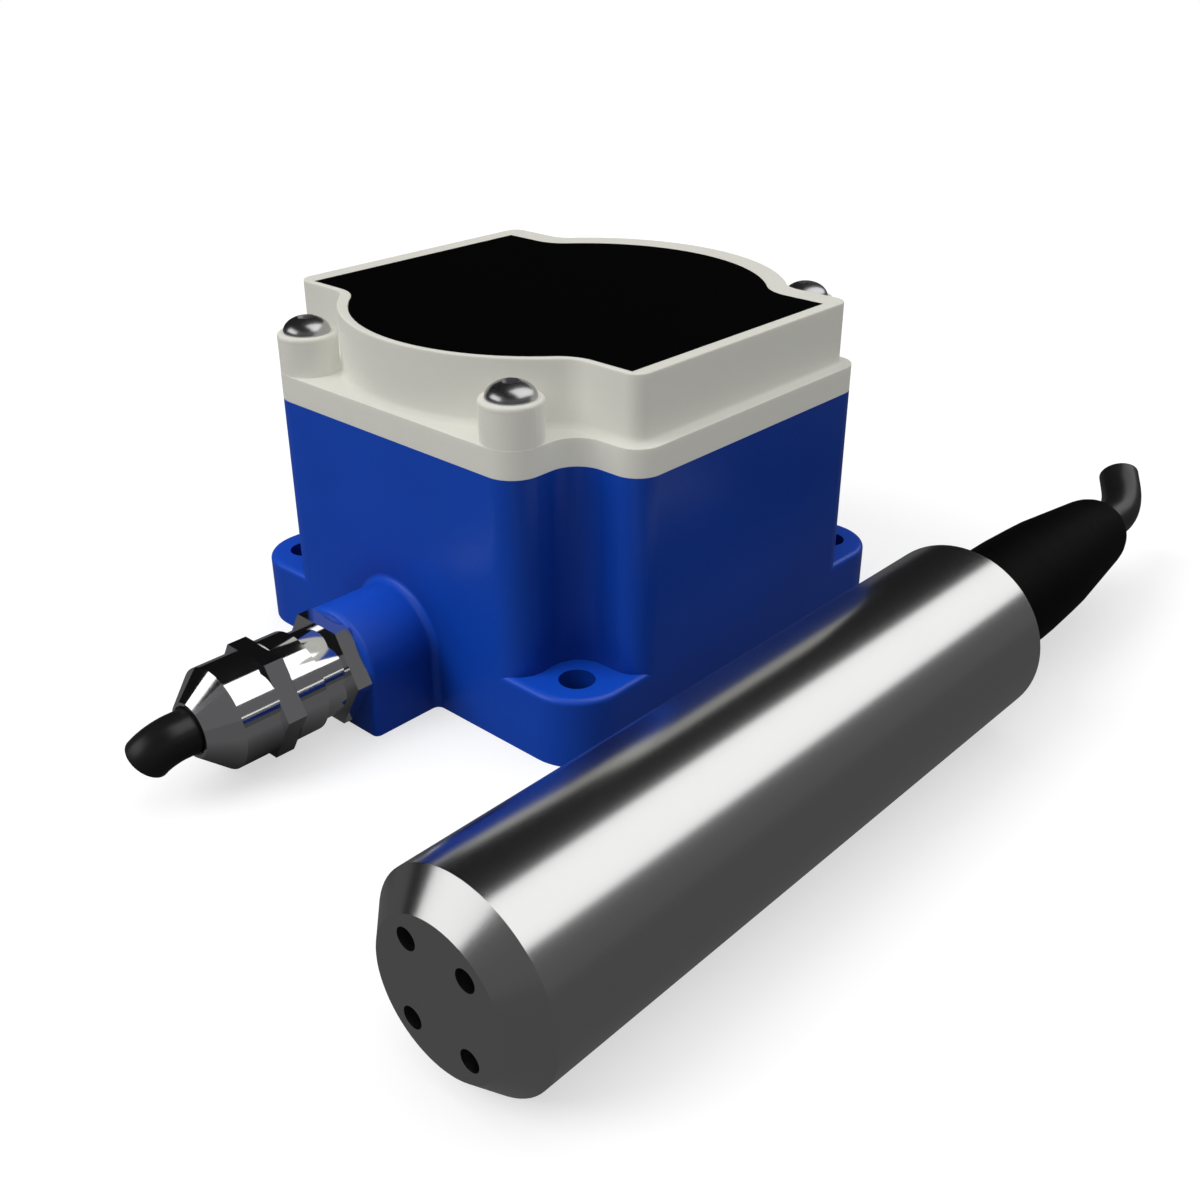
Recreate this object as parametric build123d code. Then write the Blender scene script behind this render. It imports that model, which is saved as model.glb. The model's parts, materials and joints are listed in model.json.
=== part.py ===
from build123d import *
import os
from math import pi, radians, tan

# Fuel tank monitor: a screwed box with a cable gland, and its probe lying beside it.
# Millimetres. The box stands on Z = 0, centred on the origin, with the cable entry towards -Y.
# The probe lies on the same floor at +X, with its nose towards -Y.

# Housing and the outline that the lid's flange shares
box_width = 100.0
box_depth = 100.0
notch_width = 15.2
notch_depth = 15.7
notch_corner_radius = 6.0
boss_radius = 5.95
side_edge_radius = 5.2
wall_height = 54.2
wall_thickness = 3.0
floor_thickness = 3.0
column_radius = 6.5
ear_height = 14.6
ear_radius = 10.7
ear_edge_radius = 1.2
mounting_hole_inset = 8.6
mounting_hole_radius = 3.5

# Cable entry block on the front wall
entry_radius = 11.3
entry_length = 15.8
entry_axis_height = 12.3
entry_junction_radius = 1.5
entry_edge_radius = 1.2
entry_thread_depth = 11.5
cable_passage_radius = 5.5

# Lid
flange_thickness = 5.4
plateau_height = 12.7
plateau_side_step = 2.5
plateau_flat_step = 18.0
plateau_arc_step = 2.4
plateau_arc_centre = 6.1
plateau_corner_radius = 3.0
plateau_blend_radius = 6.0
plateau_foot_radius = 1.2
plateau_edge_radius = 0.35
lid_wall = 2.5
lid_roof = 2.4
boss_height = 7.2
boss_set_back = 0.05
boss_edge_radius = 0.6
lip_depth = 4.0
lip_thickness = 1.7
lip_clearance = 0.3
label_rim = 3.4
label_shift_x = 0.95
label_shift_y = -2.35
label_thickness = 0.8
label_clearance = 0.1

# Gasket in the underside of the flange, inside the screws
gasket_start = 0.7
gasket_width = 1.6
gasket_height = 1.2
gasket_clearance = 0.1

# Lid screws and their inserts
screw_shank_radius = 2.45
screw_length = 25.0
screw_head_radius = 4.7
screw_head_height = 2.9
screw_socket_flats = 3.0
screw_socket_depth = 2.0
screw_hole_clearance = 0.3
insert_radius = 3.2
insert_length = 10.0
insert_clearance = 0.05
pilot_depth = 16.0

# Main circuit board and its posts
post_height = 5.0
post_radius = 3.5
post_inset_x = 12.0
post_inset_y = 26.0
board_thickness = 1.6
board_side_gap = 4.0
board_front_gap = 10.0
board_corner_gap = 0.8
board_screw_radius = 1.15
board_screw_length = 5.0
board_screw_head_radius = 2.4
board_screw_head_height = 1.6
board_hole_clearance = 0.45
pilot_clearance = 0.05

# Components on the main board
radio_size = (18.0, 12.0, 2.6)
radio_post_gap = 4.0
radio_holder_gap = 1.05
processor_size = (10.0, 10.0, 1.6)
processor_post_gap = 6.5
processor_holder_gap = 3.05
capacitor_radius = 4.0
capacitor_height = 11.0
capacitor_terminal_gap = 2.0
capacitor_holder_gap = 6.05
antenna_radius = 2.5
antenna_height = 52.0
antenna_wall_gap = 7.0
antenna_foot_size = 8.0
antenna_foot_height = 3.0

# Terminal block and its screws
terminal_count = 4
terminal_pitch = 5.0
terminal_depth = 9.0
terminal_height = 10.0
terminal_holder_gap = 4.05
wire_hole_radius = 1.1
wire_hole_depth = 6.0
terminal_screw_radius = 1.5
terminal_screw_length = 4.6
terminal_screw_clearance = 0.1

# Batteries and their holder
cell_radius = 13.1
cell_length = 48.8
cell_nub_radius = 2.8
cell_nub_length = 1.2
cell_pitch = 27.4
cell_clearance = 0.15
holder_column_gap = 0.6
contact_thickness = 0.6
contact_size = 14.0
contact_clearance = 0.05
holder_base = 1.5
holder_wall = 3.3
holder_end_rise = 7.0
holder_cradle_drop = 2.0

# Cable gland, on the entry block's axis
hex_flats = 19.8
gland_thread_radius = 7.95
gland_thread_clearance = 0.1
gland_thread_length = 10.8
gland_hex_length = 3.3
gland_collar_radius = 9.0
gland_collar_length = 5.9
gland_spigot_radius = 7.9
gland_spigot_length = 14.0
gland_bore_radius = 5.2
seal_radius = 6.5
seal_length = 8.8
seal_clearance = 0.1
seal_seat_gap = 0.2
gland_ring_radius = 10.1
gland_ring_length = 4.7
gland_ring_edge_radius = 1.3
nut_length = 6.7
nut_bevel_length = 1.6
nut_bevel_drop = 1.2
dome_radius = 10.0
dome_straight_length = 6.3
dome_cone_length = 5.3
dome_mouth_radius = 5.4
cap_bore_length = 15.5
cap_inner_cone_length = 5.5
cap_mouth_bore_radius = 4.8
clamp_length = 6.0
clamp_clearance = 0.15
clamp_slots = 6
clamp_slot_width = 0.8
gland_o_ring_radius = 8.9
gland_o_ring_section = 0.65
groove_clearance = 0.05

# Cables, the same at both units
cable_radius = 4.35
cable_clearance = 0.1
core_radius = 0.8
core_spread = 1.5
core_run = 9.0
box_cable_reach = 9.2
box_cable_last_run = 6.2
box_cable_turn = 49.0
straight_end = 0.13

# Probe
probe_x = 86.2
probe_radius = 17.4
probe_nose = -115.2
probe_rear = 18.7
nose_face_radius = 12.5
nose_bevel_length = 4.6
nose_thickness = 9.0
tube_wall = 2.0
tube_edge = 0.4
port_radius = 1.82
port_offset_x = 5.65
port_offset_z = 6.9
sensor_radius = 13.0
sensor_length = 8.6
sensor_clearance = 0.1
sensor_dish_radius = 10.5
sensor_dish_depth = 1.2
sensor_stem_radius = 6.0
sensor_stem_length = 1.8
sensor_seal_radius = 12.1
sensor_seal_section = 0.8
retainer_clearance = 0.1
retainer_bore_radius = 9.0
retainer_length = 5.0
retainer_slot_depth = 3.0
probe_board_half_width = 12.5
probe_board_rear = -6.0
probe_board_slot_clearance = 0.1

# Rear plug and boot
plug_length = 22.7
plug_clearance = 0.1
plug_o_ring_section = 0.8
plug_o_ring_places = (0.5, 8.5)
plug_spigot_radius = 8.0
plug_spigot_length = 11.3
prong_length = 10.0
prong_inner = 10.4
prong_outer = 13.6
prong_half_height = 2.5
boot_clearance = 0.05
boot_radius = 11.4
boot_straight_length = 19.3
boot_belly = (27.3, 11.15)
boot_taper_start = (37.3, 10.65)
boot_taper_end = (66.7, 7.35)
boot_tip_shoulder = (69.5, 6.5)
boot_length = 72.9
boot_tip_radius = 5.1
boot_mouth_radius = 4.8
boot_mouth_length = 4.6
boot_tip_slope = -0.75

# Probe cable: the corner of its bend and the point where it is cut
probe_cable_start = -4.0
probe_cable_reach = 7.02
probe_cable_last_run = (-6.95, 8.8, 2.62)

# Places worked out from the sizes above
flange_top = wall_height + flange_thickness
plateau_top = flange_top + plateau_height
plateau_half_width = box_width / 2 - plateau_side_step
plateau_flat_half_depth = box_depth / 2 - plateau_flat_step
plateau_arc_radius = box_depth / 2 - plateau_arc_step - plateau_arc_centre
boss_top = flange_top + boss_height
boss_x = box_width / 2 - notch_width - boss_radius
boss_y = box_depth / 2 - boss_radius
hole_x = box_width / 2 - mounting_hole_inset
hole_y = box_depth / 2 - mounting_hole_inset
post_x = box_width / 2 - post_inset_x
post_y = box_depth / 2 - post_inset_y
board_bottom = floor_thickness + post_height
board_top = board_bottom + board_thickness
corners = [(sx, sy) for sx in (-1, 1) for sy in (-1, 1)]

holder_depth = cell_pitch + 2 * (cell_radius + cell_clearance + holder_base)
battery_centre_y = boss_y - column_radius - holder_column_gap - holder_depth / 2
holder_front = battery_centre_y - holder_depth / 2
terminal_front = holder_front - terminal_holder_gap - terminal_depth
radio_place = (radio_post_gap + radio_size[0] / 2 - post_x, holder_front - radio_holder_gap - radio_size[1] / 2)
processor_place = (post_x - processor_post_gap - processor_size[0] / 2,
                   holder_front - processor_holder_gap - processor_size[1] / 2)
capacitor_place = (terminal_count * terminal_pitch / 2 + capacitor_terminal_gap + capacitor_radius,
                   holder_front - capacitor_holder_gap - capacitor_radius)
antenna_place = (antenna_wall_gap + antenna_foot_size / 2 + wall_thickness - box_width / 2, 0)

entry_end = -box_depth / 2 - entry_length
hex_front = entry_end - gland_hex_length
collar_front = hex_front - gland_collar_length
ring_front = collar_front - gland_ring_length
nut_front = ring_front - nut_length
dome_front = nut_front - dome_straight_length
cap_front = dome_front - dome_cone_length
spigot_front = collar_front - gland_spigot_length
hex_corner_radius = hex_flats / 3**0.5
cap_bore_radius = gland_spigot_radius + gland_thread_clearance
cap_bore_front = collar_front - cap_bore_length
cap_cone_front = cap_bore_front - cap_inner_cone_length
clamp_rear = spigot_front - seal_seat_gap
box_cable_start = terminal_front - core_run
box_cable_corner = cap_front - box_cable_reach

cell_axis_height = board_top + holder_base + cell_clearance + cell_radius
cell_half = (cell_length + cell_nub_length) / 2
cell_places = [battery_centre_y - cell_pitch / 2, battery_centre_y + cell_pitch / 2]
holder_room = cell_half + contact_thickness + contact_clearance
terminal_places = [(i - (terminal_count - 1) / 2) * terminal_pitch for i in range(terminal_count)]

tube_bore_radius = probe_radius - tube_wall
nose_inner = probe_nose + nose_thickness
sensor_front = nose_inner + 2 * sensor_seal_section
sensor_rear = sensor_front + sensor_length
retainer_rear = sensor_rear + retainer_length
probe_board_front = retainer_rear - retainer_slot_depth + probe_board_slot_clearance
plug_front = probe_rear - plug_length
plug_radius = tube_bore_radius - plug_clearance
boot_end = probe_rear + boot_length
probe_cable_corner = boot_end + probe_cable_reach


# Shared shapes

def corner_block(sx, sy, inner_x, inner_y, radius):
    """A block that fills one corner of the plan, from (inner_x, inner_y) outwards, its inner corner rounded."""
    outer_x = box_width
    outer_y = box_depth
    points = [(inner_x, inner_y), (outer_x, inner_y), (outer_x, outer_y), (inner_x, outer_y)]
    block = make_face(Polyline(*[(sx * x, sy * y) for x, y in points], close=True))
    return fillet(block.vertices().sort_by_distance((0, 0, 0))[0], radius)


def box_outline(inset):
    """The notched plan of the box, moved inwards by inset."""
    half_x = box_width / 2 - inset
    half_y = box_depth / 2 - inset
    notch_x = half_x - notch_width
    notch_y = half_y - notch_depth
    plan = Rectangle(2 * half_x, 2 * half_y)
    for sx, sy in corners:
        plan -= corner_block(sx, sy, notch_x, notch_y, notch_corner_radius + inset)
    front_edges = plan.vertices().filter_by(lambda v: abs(abs(v.Y) - half_y) < 0.001)
    plan = fillet(front_edges, max(boss_radius - inset, 0.2))
    side_edges = plan.vertices().filter_by(lambda v: abs(abs(v.X) - half_x) < 0.001 and abs(v.Y) > notch_y - 0.001)
    return fillet(side_edges, max(side_edge_radius - inset, 0.2))


def cavity_outline(grow):
    """The plan of the room inside the walls and the screw columns, grown outwards by grow."""
    half_x = box_width / 2 - wall_thickness + grow
    half_y = box_depth / 2 - wall_thickness + grow
    notch_radius = notch_corner_radius + wall_thickness - grow
    radius = column_radius - grow
    plan = Rectangle(2 * half_x, 2 * half_y)
    for sx, sy in corners:
        plan -= corner_block(sx, sy, half_x - notch_width, half_y - notch_depth, notch_radius)
        plan -= corner_block(sx, sy, boss_x - radius, boss_y - radius, radius)
    notch_edge = half_y - notch_depth
    outer = plan.vertices().filter_by(lambda v: abs(abs(v.X) - half_x) < 0.001 and abs(abs(v.Y) - notch_edge) < 0.001)
    return fillet(outer, side_edge_radius - wall_thickness + grow)


def plateau_outline(inset):
    """The plan of the lid's raised part: straight sides, with a round bulge at the front and the rear."""
    half_x = plateau_half_width - inset
    half_y = plateau_flat_half_depth - inset
    plan = Rectangle(2 * half_x, 2 * half_y)
    for centre in (-plateau_arc_centre, plateau_arc_centre):
        plan += Pos(0, centre) * Circle(plateau_arc_radius - inset)
    meets = plan.vertices().filter_by(lambda v: abs(abs(v.Y) - half_y) < 0.001 and abs(v.X) < half_x - 1)
    plan = fillet(meets, plateau_blend_radius + inset)
    if plateau_corner_radius > inset:
        ends = plan.vertices().filter_by(lambda v: abs(abs(v.X) - half_x) < 0.001)
        plan = fillet(ends, plateau_corner_radius - inset)
    return plan


def prism(plan, bottom, top):
    return extrude(Pos(0, 0, bottom) * plan, top - bottom)


def peg(x, y, radius, bottom, top):
    return Pos(x, y, bottom) * Cylinder(radius, top - bottom, align=(Align.CENTER, Align.CENTER, Align.MIN))


def block(x, y, z, width, depth, height):
    """A box centred on x and y, standing on z."""
    return Pos(x, y, z) * Box(width, depth, height, align=(Align.CENTER, Align.CENTER, Align.MIN))


def turned(x, z, points):
    """A turned piece on the axis through x and z along Y, from points (place along Y, radius)."""
    profile = make_face(Polyline(*[(radius, place) for place, radius in points], close=True))
    return Pos(x, 0, z) * revolve(profile, Axis.Y)


def tube(x, z, outer, inner, front, rear):
    return turned(x, z, [(front, inner), (front, outer), (rear, outer), (rear, inner)])


def rod(x, z, radius, front, rear):
    return turned(x, z, [(front, 0), (front, radius), (rear, radius), (rear, 0)])


def o_ring(x, z, place, radius, section):
    return Pos(x, place, z) * Rot(90, 0, 0) * Torus(radius, section)


def hexagon(front, rear):
    """A hexagonal bar on the gland's axis, flat at the top."""
    plan = Plane((0, rear, entry_axis_height), x_dir=(1, 0, 0), z_dir=(0, -1, 0))
    return extrude(plan * RegularPolygon(hex_corner_radius, 6), rear - front)


def bend_radii(points):
    """The largest easy radius at each corner of a route: 0.45 of the shorter run over tan(half the turn)."""
    radii = []
    for before, corner, after in zip(points, points[1:], points[2:]):
        run_in = Vector(*corner) - Vector(*before)
        run_out = Vector(*after) - Vector(*corner)
        half_turn = radians(run_in.get_angle(run_out)) / 2
        radii.append(0.45 * min(run_in.length, run_out.length) / tan(half_turn))
    return radii


def end_bend_radius(points):
    """The radius of a tail's one bend, which leaves straight_end of its last run straight."""
    before, corner, after = [Vector(*point) for point in points]
    run_out = after - corner
    return (run_out.length - straight_end) / tan(radians((corner - before).get_angle(run_out)) / 2)


def wire(name, points, radii, radius):
    """A round cable along straight runs joined by tangent arcs, with its volume compared to its length."""
    route = FilletPolyline(*points, radius=radii)
    start = Plane(origin=route @ 0, z_dir=route % 0)
    solid = sweep(start * Circle(radius), path=route)
    expected = pi * radius**2 * route.length
    print(f"{name}: radii {[round(r, 1) for r in radii]}, length {route.length:.1f}, "
          f"volume {solid.volume / expected:.4f} of section times length")
    return solid


# Box

def housing():
    slab = prism(RectangleRounded(box_width, box_depth, ear_radius), 0, ear_height)
    slab = fillet(slab.faces().sort_by(Axis.Z)[-1].edges(), ear_edge_radius)
    body = slab + prism(box_outline(0), 0, wall_height)
    body += entry_block()
    body = fillet(entry_edges(body, -box_depth / 2), entry_junction_radius)
    body -= prism(cavity_outline(0), floor_thickness, wall_height)
    for sx, sy in corners:
        body += peg(sx * post_x, sy * post_y, post_radius, floor_thickness, board_bottom)
        pilot = board_screw_radius + pilot_clearance
        screw_end = board_top - board_screw_length
        body -= peg(sx * post_x, sy * post_y, pilot, screw_end - pilot_clearance, board_bottom)
        body -= peg(sx * hole_x, sy * hole_y, mounting_hole_radius, 0, ear_height)
        bore = insert_radius + insert_clearance
        body -= peg(sx * boss_x, sy * boss_y, bore, wall_height - insert_length, wall_height)
        relief = screw_shank_radius + screw_hole_clearance
        body -= peg(sx * boss_x, sy * boss_y, relief, wall_height - pilot_depth, wall_height)
    thread = gland_thread_radius + gland_thread_clearance
    body -= rod(0, entry_axis_height, thread, entry_end, entry_end + entry_thread_depth)
    body -= rod(0, entry_axis_height, cable_passage_radius, entry_end, wall_thickness - box_depth / 2)
    return body


def entry_block():
    """The arched block that carries the gland, rounded at its outer end."""
    face = Pos(0, entry_axis_height) * Circle(entry_radius)
    face += Pos(0, entry_axis_height / 2) * Rectangle(2 * entry_radius, entry_axis_height)
    rear = wall_thickness / 2 - box_depth / 2
    plane = Plane((0, rear, 0), x_dir=(1, 0, 0), z_dir=(0, -1, 0))
    entry = extrude(plane * face, rear - entry_end)
    return fillet(entry_edges(entry, entry_end), entry_edge_radius)


def entry_edges(body, place):
    """The edges of the entry block's arch and sides in the plane Y = place."""
    def on_arch(edge):
        middle = edge @ 0.5
        reach = (middle.X**2 + max(middle.Z - entry_axis_height, 0) ** 2) ** 0.5
        return abs(middle.Y - place) < 0.001 and abs(reach - entry_radius) < 0.01 and middle.Z > 0.01
    return body.edges().filter_by(on_arch)


def threaded_inserts():
    pieces = []
    for sx, sy in corners:
        insert = peg(sx * boss_x, sy * boss_y, insert_radius, wall_height - insert_length, wall_height)
        bore = screw_shank_radius + insert_clearance
        insert -= peg(sx * boss_x, sy * boss_y, bore, wall_height - insert_length, wall_height)
        pieces.append(insert)
    return pieces


def lid():
    body = raised_plate() & prism(box_outline(0), wall_height, plateau_top)
    for sx, sy in corners:
        radius = boss_radius - boss_set_back
        boss = peg(sx * boss_x, sy * boss_y, radius, flange_top - plateau_foot_radius, boss_top)
        body += fillet(boss.edges().sort_by(Axis.Z)[-1], boss_edge_radius)
    recess_bottom = plateau_top - label_thickness
    body -= prism(label_outline(0), recess_bottom, plateau_top)
    body -= prism(plateau_outline(lid_wall), wall_height, recess_bottom - lid_roof)
    lip = cavity_outline(-lip_clearance) - cavity_outline(-lip_clearance - lip_thickness)
    body += prism(lip, wall_height - lip_depth, wall_height)
    body -= prism(gasket_ring(gasket_clearance), wall_height, wall_height + gasket_height)
    for sx, sy in corners:
        body -= peg(sx * boss_x, sy * boss_y, screw_shank_radius + screw_hole_clearance, wall_height, boss_top)
    return body


def raised_plate():
    """The lid before its outline is cut: a wide plate with the raised centre, rounded at foot and rim."""
    body = prism(Rectangle(2 * box_width, 2 * box_depth), wall_height, flange_top)
    body += prism(plateau_outline(0), flange_top, plateau_top)
    foot = body.edges().filter_by(lambda e: abs((e @ 0.5).Z - flange_top) < 0.001)
    foot = foot.filter_by(lambda e: abs((e @ 0.5).X) < 0.8 * box_width and abs((e @ 0.5).Y) < 0.8 * box_depth)
    body = fillet(foot, plateau_foot_radius)
    return fillet(body.faces().sort_by(Axis.Z)[-1].edges(), plateau_edge_radius)


def label_outline(inset):
    return Pos(label_shift_x, label_shift_y) * plateau_outline(label_rim + inset)


def gasket_ring(clearance):
    outer = cavity_outline(gasket_start + gasket_width + clearance)
    return outer - cavity_outline(gasket_start - clearance)


def lid_gasket():
    return prism(gasket_ring(0), wall_height, wall_height + gasket_height)


def face_label():
    return prism(label_outline(label_clearance), plateau_top - label_thickness, plateau_top)


def lid_screws():
    """Domed heads with hexagonal sockets, drawn once about Z and copied to the four bosses."""
    dome = RadiusArc((screw_head_radius, 0), (0, screw_head_height), -dome_sphere_radius())
    half = make_face(dome + Polyline((0, screw_head_height), (0, 0), (screw_head_radius, 0)))
    head = revolve(Plane.XZ * half, Axis.Z)
    socket = RegularPolygon(screw_socket_flats / 3**0.5, 6)
    head -= prism(socket, screw_head_height - screw_socket_depth, screw_head_height)
    screw = head + peg(0, 0, screw_shank_radius, -screw_length, 0)
    return [Pos(sx * boss_x, sy * boss_y, boss_top) * screw for sx, sy in corners]


def dome_sphere_radius():
    return (screw_head_radius**2 + screw_head_height**2) / (2 * screw_head_height)


# Main board

def board_outline():
    width = box_width - 2 * (wall_thickness + board_side_gap)
    depth = box_depth - 2 * (wall_thickness + board_front_gap)
    return cavity_outline(-board_corner_gap) & Rectangle(width, depth)


def circuit_board():
    board = prism(board_outline(), board_bottom, board_top)
    for sx, sy in corners:
        hole = board_screw_radius + board_hole_clearance
        board -= peg(sx * post_x, sy * post_y, hole, board_bottom, board_top)
    return board


def board_screws():
    screw = peg(0, 0, board_screw_head_radius, 0, board_screw_head_height)
    screw = fillet(screw.edges().sort_by(Axis.Z)[-1], board_screw_head_height / 2)
    screw += peg(0, 0, board_screw_radius, -board_screw_length, 0)
    return [Pos(sx * post_x, sy * post_y, board_top) * screw for sx, sy in corners]


def radio_module():
    width, depth, height = radio_size
    can = block(*radio_place, board_top, width, depth, height)
    edge = height / 4
    return chamfer(can.faces().sort_by(Axis.Z)[-1].edges(), edge)


def processor_chip():
    width, depth, height = processor_size
    chip = block(*processor_place, board_top, width, depth, height)
    mark_radius = width / 16
    mark_x = processor_place[0] - width / 2 + 2.5 * mark_radius
    mark_y = processor_place[1] - depth / 2 + 2.5 * mark_radius
    return chip - peg(mark_x, mark_y, mark_radius, board_top + height * 0.8, board_top + height)


def board_capacitor():
    can = peg(*capacitor_place, capacitor_radius, board_top, board_top + capacitor_height)
    return fillet(can.edges().sort_by(Axis.Z)[-1], capacitor_radius / 8)


def antenna():
    foot = block(*antenna_place, board_top, antenna_foot_size, antenna_foot_size, antenna_foot_height)
    rod_top = board_top + antenna_height
    sleeve = peg(*antenna_place, antenna_radius, board_top + antenna_foot_height, rod_top)
    return foot + fillet(sleeve.edges().sort_by(Axis.Z)[-1], antenna_radius / 2)


def terminal_block():
    width = terminal_count * terminal_pitch
    middle = terminal_front + terminal_depth / 2
    body = block(0, middle, board_top, width, terminal_depth, terminal_height)
    bevel = body.edges().filter_by(Axis.X).sort_by(Axis.Z)[-2:]
    body = chamfer(bevel, terminal_height / 10)
    for x in terminal_places:
        body -= rod(x, entry_axis_height, wire_hole_radius, terminal_front, terminal_front + wire_hole_depth)
        top = board_top + terminal_height
        body -= peg(x, middle, terminal_screw_radius + terminal_screw_clearance, entry_axis_height, top)
    return body


def terminal_screws():
    middle = terminal_front + terminal_depth / 2
    bottom = entry_axis_height + core_radius + terminal_screw_clearance
    pieces = []
    for x in terminal_places:
        screw = peg(x, middle, terminal_screw_radius, bottom, bottom + terminal_screw_length)
        slot_width = terminal_screw_radius / 3
        slot_depth = terminal_screw_length / 5
        slot_bottom = bottom + terminal_screw_length - slot_depth
        screw -= block(x, middle, slot_bottom, 2 * terminal_screw_radius, slot_width, slot_depth)
        pieces.append(screw)
    return pieces


def battery_holder():
    length = 2 * (holder_room + holder_wall)
    cradle_top = cell_axis_height - holder_cradle_drop
    end_top = cell_axis_height + holder_end_rise
    body = block(0, battery_centre_y, board_top, length, holder_depth, end_top - board_top)
    body -= block(0, battery_centre_y, cradle_top, 2 * holder_room, holder_depth, end_top - cradle_top)
    for y in cell_places:
        trough = Cylinder(cell_radius + cell_clearance, 2 * holder_room)
        body -= Pos(0, y, cell_axis_height) * Rot(0, 90, 0) * trough
    return body


def battery_cells():
    """Two cells, head to tail, each with its raised contact."""
    pieces = []
    for direction, y in zip((1, -1), cell_places):
        cell = Cylinder(cell_radius, cell_length)
        cell = fillet(cell.edges().filter_by(GeomType.CIRCLE), cell_radius / 16)
        nub_middle = (cell_length + cell_nub_length) / 2
        cell += Pos(0, 0, nub_middle) * Cylinder(cell_nub_radius, cell_nub_length)
        cell = Pos(0, 0, -cell_nub_length / 2) * cell
        pieces.append(Pos(0, y, cell_axis_height) * Rot(0, 90 * direction, 0) * cell)
    return pieces


def battery_contacts():
    pieces = []
    for direction in (-1, 1):
        for y in cell_places:
            x = direction * (cell_half + contact_thickness / 2)
            plate = Box(contact_thickness, contact_size, contact_size)
            pieces.append(Pos(x, y, cell_axis_height) * plate)
    return pieces


# Cable gland

def gland_body():
    axis = (0, entry_axis_height)
    rear = entry_end + gland_thread_length
    body = hexagon(hex_front, entry_end)
    body &= turned(*axis, nut_bevels(hex_front, entry_end))
    body += rod(*axis, gland_thread_radius, entry_end, rear)
    body += rod(*axis, gland_collar_radius, collar_front, hex_front)
    body += rod(*axis, gland_spigot_radius, spigot_front, collar_front)
    body -= rod(*axis, gland_bore_radius, spigot_front, rear)
    body -= rod(*axis, seal_radius + seal_clearance, spigot_front, spigot_front + seal_length)
    groove = 2 * gland_o_ring_section
    width = gland_o_ring_section + groove_clearance
    body -= tube(*axis, gland_o_ring_radius + width, gland_o_ring_radius - width, entry_end - groove, entry_end)
    return body


def nut_bevels(front, rear):
    """The turned envelope that bevels a hexagon's corners at both ends."""
    low = hex_corner_radius - nut_bevel_drop / 2
    run = nut_bevel_length / 2
    points = [(front, 0), (front, low), (front + run, hex_corner_radius + 0.1)]
    return points + [(rear - run, hex_corner_radius + 0.1), (rear, low), (rear, 0)]


def gland_o_ring():
    return o_ring(0, entry_axis_height, entry_end - gland_o_ring_section, gland_o_ring_radius, gland_o_ring_section)


def gland_seal():
    inner = cable_radius + cable_clearance
    return tube(0, entry_axis_height, seal_radius, inner, spigot_front, spigot_front + seal_length)


def gland_clamp():
    """The slotted cage that the cap's cone squeezes on to the cable."""
    inner = cable_radius + cable_clearance
    widest = cap_bore_radius - clamp_clearance
    slope = (cap_bore_radius - cap_mouth_bore_radius) / cap_inner_cone_length
    front = clamp_rear - clamp_length
    narrow = widest - slope * (cap_bore_front - front)
    points = [(clamp_rear, inner), (clamp_rear, widest), (cap_bore_front, widest), (front, narrow), (front, inner)]
    cage = turned(0, entry_axis_height, points)
    slot_length = clamp_length * 0.7
    for i in range(clamp_slots // 2):
        slot = Box(2 * widest, slot_length, clamp_slot_width)
        place = Pos(0, front + slot_length / 2, entry_axis_height)
        cage -= place * Rot(0, 180 * i / (clamp_slots // 2), 0) * slot
    return cage


def gland_cap():
    """The dome nut: a rounded skirt ring, a hexagon, a straight dome and a cone down to the cable."""
    axis = (0, entry_axis_height)
    ring = rod(*axis, gland_ring_radius, ring_front, collar_front)
    shoulder = ring.edges().sort_by(Axis.Y)[-1]
    cap = fillet(shoulder, gland_ring_edge_radius)
    nut = hexagon(nut_front, ring_front)
    bevel = [(ring_front, 0), (ring_front, hex_corner_radius - nut_bevel_drop)]
    bevel += [(ring_front - nut_bevel_length, hex_corner_radius)]
    bevel += [(nut_front + nut_bevel_length, hex_corner_radius)]
    bevel += [(nut_front, hex_corner_radius - nut_bevel_drop), (nut_front, 0)]
    cap += nut & turned(*axis, bevel)
    dome = [(nut_front, 0), (nut_front, dome_radius), (dome_front, dome_radius)]
    dome += [(cap_front, dome_mouth_radius), (cap_front, 0)]
    cap += turned(*axis, dome)
    hollow = [(collar_front, 0), (collar_front, cap_bore_radius), (cap_bore_front, cap_bore_radius)]
    hollow += [(cap_cone_front, cap_mouth_bore_radius), (cap_front, cap_mouth_bore_radius), (cap_front, 0)]
    return cap - turned(*axis, hollow)


# Cable of the box

def box_cable():
    height = entry_axis_height
    end_y = box_cable_corner - box_cable_last_run * cosine(box_cable_turn)
    end_z = height - box_cable_last_run * sine(box_cable_turn)
    points = [(0, box_cable_start, height), (0, box_cable_corner, height), (0, end_y, end_z)]
    return wire("box cable", points, [end_bend_radius(points)], cable_radius)


def cosine(degrees_turned):
    return Vector(1, 0, 0).rotate(Axis.Z, degrees_turned).X


def sine(degrees_turned):
    return Vector(1, 0, 0).rotate(Axis.Z, degrees_turned).Y


def box_cable_cores():
    """Four cores from the end of the jacket into the terminal block."""
    height = entry_axis_height
    end = terminal_front + wire_hole_depth - 2 * pilot_clearance
    gap = terminal_front - box_cable_start
    pieces = []
    for i, x in enumerate(terminal_places):
        start_x = core_spread * (1 if x > 0 else -1)
        start_z = height + core_spread * (1 if i in (0, terminal_count - 1) else -1)
        points = [(start_x, box_cable_start, start_z), (start_x, box_cable_start + gap / 4, start_z)]
        points += [(x, terminal_front - gap / 4, height), (x, end, height)]
        pieces.append(wire(f"box core {i + 1}", points, bend_radii(points), core_radius))
    return pieces


# Probe

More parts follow.
